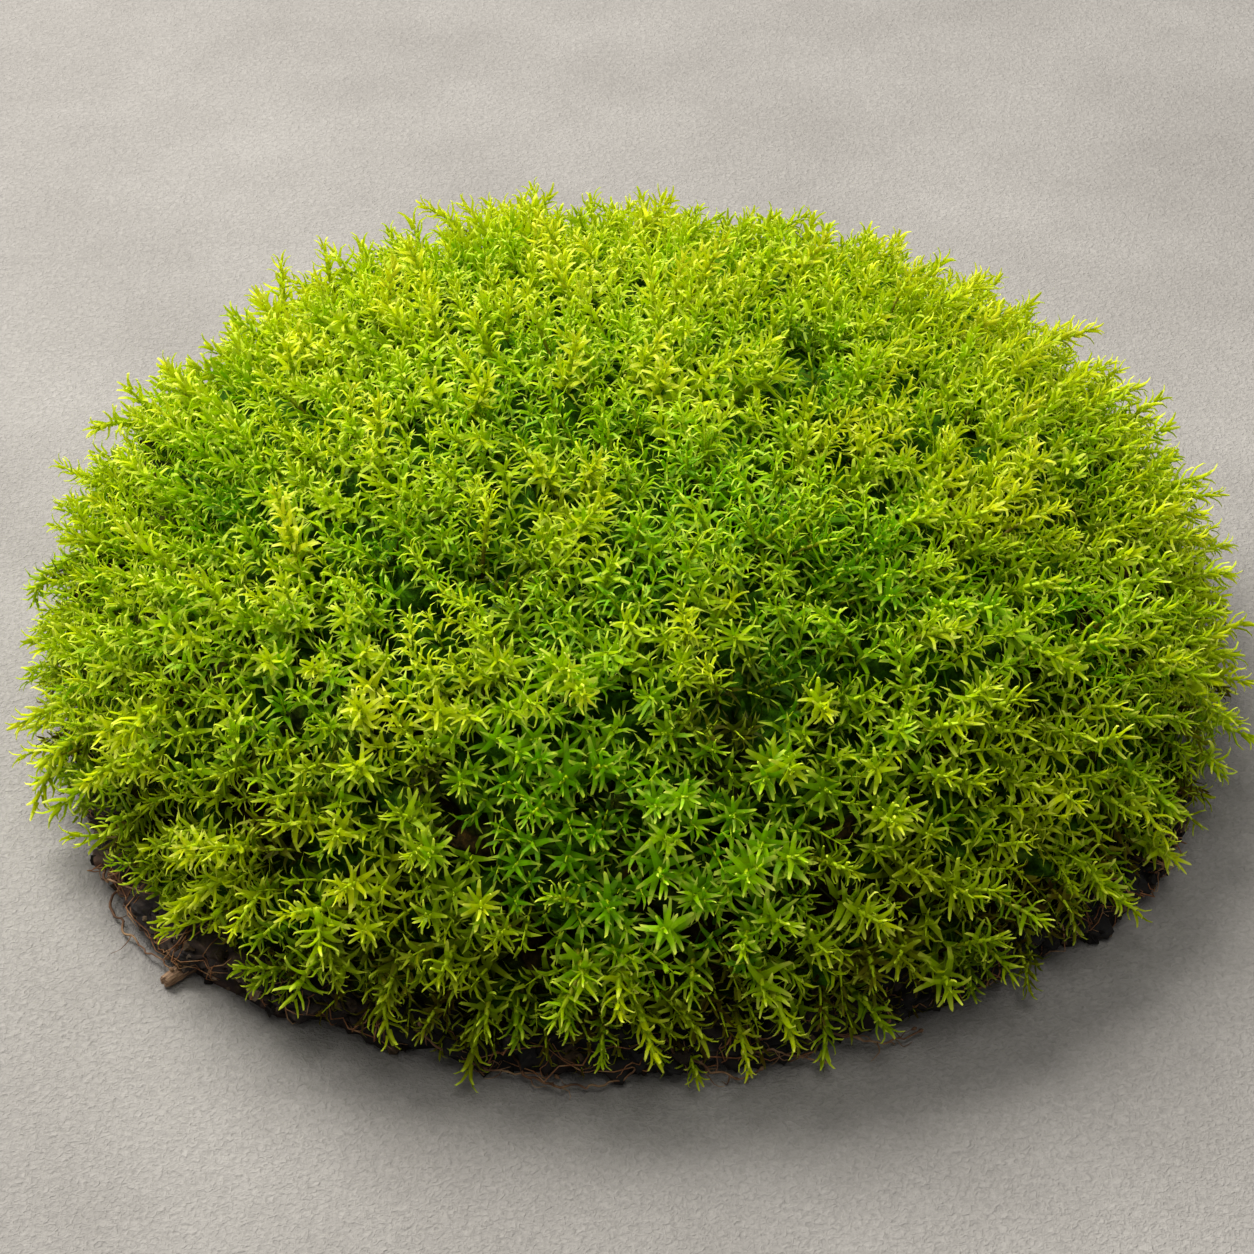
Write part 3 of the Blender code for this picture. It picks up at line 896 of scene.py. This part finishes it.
# Old growth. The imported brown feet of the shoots, with dead leaves between them, which fill the cushion
# down to the soil and show as dark gaps between the stars. Made from the frame's cushion, drawn in.
OLD_DEPTH = 6.0 * MM
OLD_CROWN = 0.4 * HEIGHT  # only what is higher than this or reaches further out is drawn in
OLD_REACH = 0.86 * RADIUS
OLD_FOOT = 8.6 * MM
OLD_LUMPS = ((5 * MM, 1.6 * MM), (1.6 * MM, 0.7 * MM))

core = copy_of_node("moss_cushion")
bmesh.ops.subdivide_edges(core, edges=core.edges, cuts=1, use_grid_fill=True)
for vert in core.verts:
    if vert.co.z > OLD_CROWN or in_plan(vert.co).length > OLD_REACH:
        vert.co -= growth(vert.co) * (OLD_DEPTH - roughness_of(vert.co, OLD_LUMPS))
        vert.co.z = max(vert.co.z, OLD_FOOT)


def old_growth_material():
    """Matted dead stems and leaves: dark brown and olive strands."""
    made, nodes, place = new_material("old_growth")
    mat = nodes.noise(place, 620.0, 5.0, 0.65)
    patch = nodes.noise(place, 90.0, 2.0)
    brown = nodes.ramp(
        mat,
        (0.36, (0.004, 0.003, 0.001)),
        (0.54, (0.022, 0.014, 0.003)),
        (0.74, (0.080, 0.044, 0.008)),
    )
    green = nodes.ramp(mat, (0.38, (0.007, 0.026, 0.0004)), (0.70, (0.060, 0.180, 0.002)))
    # Painted light and shade: the strands turn green and paler higher up, and stay dark brown lower down,
    # in the front pits.
    high = nodes.span(nodes.axis(place, "Z"), 32 * MM, 46 * MM)
    greenness_and_painted_light = nodes.maths("ADD", nodes.span(patch, 0.40, 0.60), high, clamp=True)
    colour = nodes.mix(greenness_and_painted_light, brown, green)
    nodes.dress(colour, nodes.span(mat, 0.3, 0.7, 0.8, 0.95), mat, 0.8, 0.5 * MM, 0.05)
    return made


old = piece("old_growth", core, old_growth_material())
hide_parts("moss_cushion")

# Crumbs of the soil. Grains and small lumps that stand out of its broken side, most of all at the
# ledges. Copies of a few broken lumps, sunk in the clod.
CRUMBS = 900
CRUMB_SIZES = (0.28 * MM, 1.35 * MM)  # radius
CRUMB_TOP = 8.8 * MM
CRUMB_SUNK = 0.25  # share of its radius
CRUMB_KINDS = 4
CRUMB_PALE_SIDE = -52 * MM  # left of this the crumbs are paler
CRUMB_PALENESS = 0.45
AT_LEDGES = 0.6  # this share of them lies at the ledges
OUTSIDE = 1.4  # well clear of the clump, as a share of its radius


def round_the_rim(chance, share):
    """A direction round the clump: this share of them at the ledges, the others anywhere."""
    if chance.random() < share:
        middle, wide, _ = chance.choice(LEDGES)
        return math.radians(middle + chance.gauss(0, 0.8 * wide))
    return chance.uniform(-math.pi, math.pi)


def on_the_clod(angle, height):
    """The place on the soil's side in this direction and at this height, and the way it faces."""
    outside = Vector((math.cos(angle), math.sin(angle), 0)) * OUTSIDE * RADIUS
    outside.z = height
    place, normal, _, _ = CLOD_SURFACE.ray_cast(outside, -in_plan(outside).normalized())
    return place, normal


FACE_ORDER = Vector((97, 13, 1))  # a sphere's faces come in any order, and are sorted along this line


def crumb_form(name, seed):
    """A broken lump of unit radius."""
    lump = bmesh.new()
    bmesh.ops.create_uvsphere(lump, u_segments=7, v_segments=5, radius=1)
    lump.faces.sort(key=lambda face: face.calc_center_median().dot(FACE_ORDER))
    for vert in lump.verts:
        vert.co *= 1 + 1.1 * noise.noise(vert.co * 1.6 + Vector((seed, 0, 0)))
    return bpy.data.objects.new(name, finished_mesh(name, lump))


CRUMB_FORMS = bpy.data.collections.new("crumb_forms")
for number in range(CRUMB_KINDS):
    CRUMB_FORMS.objects.link(crumb_form(f"crumb_{number}", 7 * number))
crumbs = []
for _ in range(CRUMBS):
    place, normal = on_the_clod(round_the_rim(chance, AT_LEDGES), CRUMB_TOP * chance.random() ** 1.3)
    size = CRUMB_SIZES[0] * (CRUMB_SIZES[1] / CRUMB_SIZES[0]) ** (chance.random() ** 1.6)
    facing = Vector([chance.gauss(0, 1) for _ in range(3)]).normalized()
    sizes = [size * chance.uniform(0.7, 1.15) for _ in range(3)]
    place = place - normal * CRUMB_SUNK * size
    form = chance.randrange(CRUMB_KINDS)
    tone = chance.random() ** (CRUMB_PALENESS if place.x < CRUMB_PALE_SIDE else 1)
    crumbs.append((place, facing, facing.orthogonal(), sizes, form, tone))
*columns, tones = zip(*crumbs)
crumb_mesh = joined_copies(CRUMB_FORMS, *columns, tone=tones)
keep_above(crumb_mesh, 0)
remove_forms(CRUMB_FORMS)


def crumb_material():
    """Crumbs: black-brown earth, reddish brown humus and a few pale grains."""
    made, nodes, place = new_material("soil_crumbs")
    grains = nodes.noise(place, 1400.0, 4.0, 0.6)
    earth = nodes.ramp(
        nodes.attribute("tone"),
        (0.00, (0.006, 0.004, 0.003)),
        (0.50, (0.017, 0.012, 0.009)),
        (0.78, (0.056, 0.036, 0.020)),
        (0.92, (0.130, 0.082, 0.042)),
        (0.98, (0.240, 0.175, 0.110)),
    )
    colour = nodes.mix(1.0, earth, nodes.span(grains, 0.3, 0.7, 0.35, 1.25), "MULTIPLY")
    nodes.dress(colour, nodes.span(grains, 0.3, 0.7, 0.75, 0.95), grains, 0.8, 0.25 * MM, 0.3)
    return made


crumbs_piece = piece("soil_crumbs", crumb_mesh, crumb_material())
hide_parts("soil")

# Root fibres. Fine brown and pale threads that bind the soil and hang over its broken side.
# Thin tubes, drawn down the clod's side from under the moss, some of them slack.
FIBRES = 320
FIBRE_RADII = (0.07 * MM, 0.16 * MM)
FIBRE_POINTS = 8
FIBRE_TOPS = (4.0, 8.6)  # mm above the floor
FIBRE_SLACK = (0.2, 1.5)  # mm off the soil, half way down

fibres = []
for _ in range(FIBRES):
    angle = round_the_rim(chance, 0.35)
    height = chance.uniform(*FIBRE_TOPS) * MM
    fall = height / chance.uniform(6.5, 16)
    turn = chance.uniform(-0.9, 0.9) * MM / RADIUS
    radius = chance.uniform(*FIBRE_RADII)
    slack = chance.uniform(*FIBRE_SLACK) * MM
    points = []
    for index in range(FIBRE_POINTS):
        share = index / (FIBRE_POINTS - 1)
        place, normal = on_the_clod(angle, height)
        out = in_plan(place).normalized() * slack * math.sin(math.pi * share)
        points.append((place + out + normal * radius, radius * (1 - 0.6 * share)))
        turn += chance.gauss(0, 0.5) * MM / RADIUS
        angle += turn
        height = max(height - fall * chance.uniform(0.5, 1.5), 0.4 * MM)
    fibres.append(points)


def dry_bark():
    """Streaks along a dry root and fine ridges over them, as a group that its materials share."""
    tree = bpy.data.node_groups.new("dry_bark", "ShaderNodeTree")
    tree.interface.new_socket("Place", in_out="INPUT", socket_type="NodeSocketVector")
    for name, way in (("Along", "INPUT"), ("Age", "OUTPUT"), ("Dullness", "OUTPUT"), ("Ridges", "OUTPUT")):
        tree.interface.new_socket(name, in_out=way, socket_type="NodeSocketFloat")
    nodes = Nodes(tree)
    given = nodes.add("NodeGroupInput").outputs
    blotch = nodes.noise(given["Place"], 420.0, 3.0)
    streaks = nodes.span(blotch, 0.25, 0.75, 0.0, 0.75)
    nodes.add(
        "NodeGroupOutput",
        Age=nodes.maths("ADD", nodes.maths("MULTIPLY", given["Along"], 0.25), streaks),
        Dullness=nodes.span(blotch, 0.3, 0.7, 0.55, 0.8),
        Ridges=nodes.noise(given["Place"], 4200.0, 2.0),
    )
    return tree


DRY_BARK = dry_bark()


def root_material(name, dark, middle, light):
    """Dry root: bark that goes from dark to light in streaks along it, with fine ridges."""
    made, nodes, place = new_material(name)
    given = {"Place": place, "Along": along_tube(nodes)}
    bark = nodes.add("ShaderNodeGroup", {"node_tree": DRY_BARK}, **given).outputs
    colour = nodes.ramp(bark["Age"], (0.15, dark), (0.50, middle), (0.90, light))
    nodes.dress(colour, bark["Dullness"], bark["Ridges"], 0.6, 0.08 * MM, 0.25)
    return made


FIBRE = root_material("root_fibre", (0.10, 0.036, 0.012), (0.30, 0.130, 0.050), (0.56, 0.380, 0.200))
threads = piece("soil_fibres", drawn_lines(fibres), FIBRE)
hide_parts("soil")

# Dry roots that hang out from under the rim: thin reddish brown stems with side roots, and some with
# a small dead bud at the end. Drawn along the frame's roots, as (degrees, mm off the soil, mm up).
SOIL_REACH = 0.93  # the soil's radius, as a share of the clump's
ROOTS = {
    "root_1": ((-148, 0.8, 3.6), (-146, 0.7, 5.6), (-143.5, 0, 7.1), (-141, -2.2, 7.5), (-139, -4.6, 7.8)),
    "root_2": ((-146, 0.7, 0.8), (-143, 0.5, 0.7), (-140, 0.4, 0.8), (-137, 0.3, 1.4), (-134.5, 0.2, 2.4)),
    "root_3": ((-109, 0.5, 4.8), (-107, 0.9, 3.6), (-104, 1.4, 2.0), (-101, 1.8, 1.2), (-98, 1.2, 1.6)),
    "root_4": ((-100, 2.4, 1.6), (-97, 3.2, 1.0), (-94, 3.4, 0.8), (-91, 2.4, 1.4), (-89, 1.0, 2.6)),
    "root_5": ((-86.5, 0.5, 5.4), (-85, 1.2, 4.2), (-83, 2.4, 2.2), (-80.5, 3.2, 1.0), (-78.5, 3.0, 1.4)),
    "root_6": ((-80, 0.5, 4.4), (-77.5, 0.8, 3.6), (-75, 1.6, 2.2), (-72.5, 2.8, 1.4)),
    "root_7": ((-71.5, 0.5, 3.8), (-69, 1.2, 2.4), (-66, 2.4, 1.2), (-63, 2.2, 1.0)),
    "root_8": ((62, 0.9, 3.8), (64.5, 1.8, 2.2), (68, 4.0, 0.8), (71.5, 5.2, 0.7)),
    "root_9": ((156, 0.9, 4.0), (159, 1.8, 1.9), (162.5, 3.4, 0.8), (166, 2.8, 0.8)),
}
ROOT_RADIUS = 0.18 * MM
ROOT_WANDER = 0.80 * MM
SIDE_ROOT_POINTS = 7
SIDE_ROOT_LENGTHS = (1.6, 4.6)  # mm
BUD_RADIUS = 0.34 * MM
BUD_SHARES = (0.55, 1.0, 0.85, 0.25)  # of that radius, from its foot to its tip
TANGLED = ("root_3", "root_5", "root_6")  # these have twice the side roots
BARE = ("root_1", "root_2")  # and these few
SIDE_ROOTS = (6, 9)
FEW = 3
DRY_ROOT = root_material("dry_root", (0.060, 0.027, 0.013), (0.17, 0.085, 0.042), (0.42, 0.27, 0.14))


def root_place(degrees, off, height):
    """The place this far off the soil's side, in this direction and at this height."""
    angle = math.radians(degrees)
    jut = ledge_here(angle) * LEDGES[0][2]
    radius = RADIUS * outline(angle) * (SOIL_REACH + jut) - broken_back(angle) + off * MM
    return Vector((radius * math.cos(angle), radius * math.sin(angle), height * MM))


def along_controls(controls):
    """Places along the smooth line that these control places draw."""
    curve = bpy.data.curves.new("line", "CURVE")
    curve.dimensions = "3D"
    curve.resolution_u = 6
    spline = curve.splines.new("NURBS")
    spline.points.add(len(controls) - 1)
    for point, place in zip(spline.points, controls):
        point.co = (*place, 1)
    spline.order_u = 4
    spline.use_endpoint_u = True
    drawn = bpy.data.objects.new("line", curve)
    mesh = bpy.data.meshes.new_from_object(drawn)
    places = [vert.co.copy() for vert in mesh.vertices]
    bpy.data.objects.remove(drawn)
    bpy.data.meshes.remove(mesh)
    return places


def side_root(start, way, length, radius, chance):
    """A thin root that leaves another one and curls back towards the soil."""
    points = []
    place = start.copy()
    curl = Vector([chance.gauss(0, 0.35) for _ in range(3)])
    for index in range(SIDE_ROOT_POINTS):
        points.append((place.copy(), radius * (1 - 0.11 * index)))
        inward = -in_plan(place).normalized() * 0.16
        way = (way + curl + inward + Vector([chance.gauss(0, 0.30) for _ in range(3)])).normalized()
        place = place + way * length / (SIDE_ROOT_POINTS - 1)
        place.z = max(place.z, 0.25 * MM)
    return points


for name, controls in ROOTS.items():
    degrees, off, height = controls[0]
    in_soil = root_place(degrees - 1, -2.0, height)
    places = along_controls([in_soil] + [root_place(*control) for control in controls])
    trunk = []
    for index, place in enumerate(places):
        share = index / (len(places) - 1)
        strays = [noise.noise(place / (1.8 * MM) + Vector((9 * axis, 0, 0))) for axis in range(3)]
        place = place + Vector(strays) * ROOT_WANDER
        place.z = max(place.z, 0.3 * MM)
        trunk.append((place, ROOT_RADIUS * (1.25 - 0.5 * share)))
    roots = [trunk]
    side_roots = FEW if name in BARE else chance.randint(*SIDE_ROOTS) * (2 if name in TANGLED else 1)
    for _ in range(side_roots):
        index = chance.randrange(2, len(trunk) - 2)
        way = (trunk[index + 1][0] - trunk[index][0]).normalized()
        aside = way.cross(Vector((0, 0, 1))).normalized() * chance.choice((-1, 1))
        aside *= chance.uniform(0.6, 1.6)
        length = chance.uniform(*SIDE_ROOT_LENGTHS) * MM
        radius = ROOT_RADIUS * chance.uniform(0.45, 0.8)
        roots.append(side_root(trunk[index][0], way + aside, length, radius, chance))
    for points in roots[: 1 if name in BARE else 2]:
        end, before = points[-1][0], points[-2][0]
        way = (end - before).normalized()
        for step, wide in enumerate(BUD_SHARES):
            points.append((end + way * BUD_RADIUS * 0.7 * (step + 1), BUD_RADIUS * wide))
    root = piece(f"dry_{name}", drawn_lines(roots), DRY_ROOT)
    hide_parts(name)

# Stub of a dead twig at the foot of the soil, left front. Pale tan wood with split, fibrous ends.
# Made from the frame's twig, cut finer.
TWIG_LUMPS = ((1.2 * MM, 0.22 * MM), (0.4 * MM, 0.10 * MM))
TWIG_DEGREES = -131.5
TWIG_SUNK = 3.3 * MM  # its inner half is in the broken ledge
TWIG_TURN = math.radians(-2.5)

stub = copy_of_node("twig_stub")
bmesh.ops.subdivide_edges(stub, edges=stub.edges, cuts=4, use_grid_fill=True)
stub.normal_update()
twig_axis = Vector((math.cos(math.radians(TWIG_DEGREES)), math.sin(math.radians(TWIG_DEGREES)), 0))
for vert in stub.verts:
    vert.co += vert.normal * roughness_of(vert.co, TWIG_LUMPS)
    vert.co = Matrix.Rotation(TWIG_TURN, 3, "Z") @ (vert.co - twig_axis * TWIG_SUNK)
    vert.co.z = max(vert.co.z, 0)


def dead_wood():
    """Bleached tan wood, streaked along the grain."""
    made, nodes, place = new_material("dead_wood")
    turn = math.radians(-TWIG_DEGREES)  # brings the grain along X
    turned = nodes.add("ShaderNodeVectorRotate", {"rotation_type": "Z_AXIS"}, Vector=place, Angle=turn)
    grain = nodes.add("ShaderNodeVectorMath", {"operation": "MULTIPLY"})
    nodes.feed(grain, "0", turned.outputs["Vector"])
    nodes.feed(grain, "1", (0.15, 1.0, 1.0))
    streaks = nodes.noise(grain.outputs["Vector"], 3000.0, 4.0, 0.6)
    wood = nodes.ramp(
        streaks,
        (0.30, (0.07, 0.034, 0.016)),
        (0.50, (0.24, 0.135, 0.070)),
        (0.72, (0.46, 0.310, 0.185)),
    )
    nodes.dress(wood, nodes.span(streaks, 0.3, 0.7, 0.65, 0.85), streaks, 0.8, 0.15 * MM)
    return made


twig = piece("dead_twig", stub, dead_wood())
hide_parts("twig_stub")

# Floor, light and camera. A pale matt floor, soft light from above and behind, and the photo's view.
# The camera's height, distance and aim fit the clump's outline as the photo shows it.
FLOOR_SIZE = 2.0  # metres from its middle to each side
FLOOR_GAP = 0.05 * MM  # it lies this far under the clump's flat cut
slab = bmesh.new()
bmesh.ops.create_grid(slab, x_segments=1, y_segments=1, size=FLOOR_SIZE)
bmesh.ops.translate(slab, verts=slab.verts, vec=(0, 0, -FLOOR_GAP))


def pale_stone():
    """Matt stone with slow mottling, fine speckle and scratches; painted shade darkens it towards the far
    right back.
    """
    made, nodes, place = new_material("pale_stone")
    mottle = nodes.noise(place, 22.0, 5.0, 0.6)
    speckle = nodes.noise(place, 1500.0, 3.0, 0.75)
    scratches = nodes.add("ShaderNodeTexNoise", Vector=place, Scale=1250.0, Detail=2.0, Distortion=1.0)
    tint = nodes.mix(nodes.span(mottle, 0.3, 0.7), (0.228, 0.214, 0.198), (0.290, 0.275, 0.257))
    relief = nodes.maths("ADD", nodes.maths("MULTIPLY", speckle, 0.5), scratches.outputs["Fac"])
    # Painted shade: the floor is made darker towards the far right back, where less light falls.
    far_right = nodes.span(nodes.axis(place, "X"), -0.20, 0.25)
    painted_falloff_shade = nodes.maths("MULTIPLY", far_right, nodes.span(nodes.axis(place, "Y"), 0.10, 0.45, 0.0, 0.30))
    grit_and_painted_shade = nodes.maths("SUBTRACT", nodes.span(relief, 0.5, 1.0, 0.84, 1.14), painted_falloff_shade)
    nodes.dress(nodes.mix(1.0, tint, grit_and_painted_shade, "MULTIPLY"), 0.8, relief, 0.8, 0.45 * MM)
    return made


floor = new_object("floor", slab, pale_stone())

world = bpy.data.worlds.new("studio")
bpy.context.scene.world = world
world.use_nodes = True
world.node_tree.nodes["Background"].inputs["Color"].default_value = (1.0, 0.99, 0.98, 1)
world.node_tree.nodes["Background"].inputs["Strength"].default_value = 0.22


def soft_light(name, place, size, power, colour):
    """A square soft box that looks at the clump."""
    lamp = bpy.data.lights.new(name, "AREA")
    lamp.energy, lamp.size, lamp.color = power, size, colour
    made = in_scene(name, lamp)
    made.location = place
    made.rotation_euler = Vector(place).to_track_quat("Z", "Y").to_euler()


soft_light("key", (-0.58, 0.70, 1.22), 0.90, 47.0, (1.0, 0.98, 0.94))
soft_light("overhead", (0.10, -0.35, 1.40), 0.70, 7.0, (1.0, 0.99, 0.97))

PHOTO_WIDTH = 1254
CAMERA_ELEVATION = math.radians(37)
CAMERA_DISTANCE = 5.2 * RADIUS
RADIUS_PIXELS = 606  # the dome's radius at the camera's distance, in the photo's pixels
AIM = Vector((0, 0, 0.4 * HEIGHT))
AIM_PIXEL = (630, 556)
SENSOR = 36.0

camera = bpy.data.cameras.new("camera")
camera.sensor_width = SENSOR
camera.lens = SENSOR * RADIUS_PIXELS * CAMERA_DISTANCE / RADIUS / PHOTO_WIDTH
camera.shift_x = (PHOTO_WIDTH / 2 - AIM_PIXEL[0]) / PHOTO_WIDTH
camera.shift_y = (AIM_PIXEL[1] - PHOTO_WIDTH / 2) / PHOTO_WIDTH
camera.clip_start = 0.01
viewer = in_scene("camera", camera)
backward = Vector((0, -math.cos(CAMERA_ELEVATION), math.sin(CAMERA_ELEVATION)))
viewer.location = AIM + backward * CAMERA_DISTANCE
viewer.rotation_euler = backward.to_track_quat("Z", "Y").to_euler()
bpy.context.scene.camera = viewer
bpy.context.scene.view_settings.view_transform = "Standard"
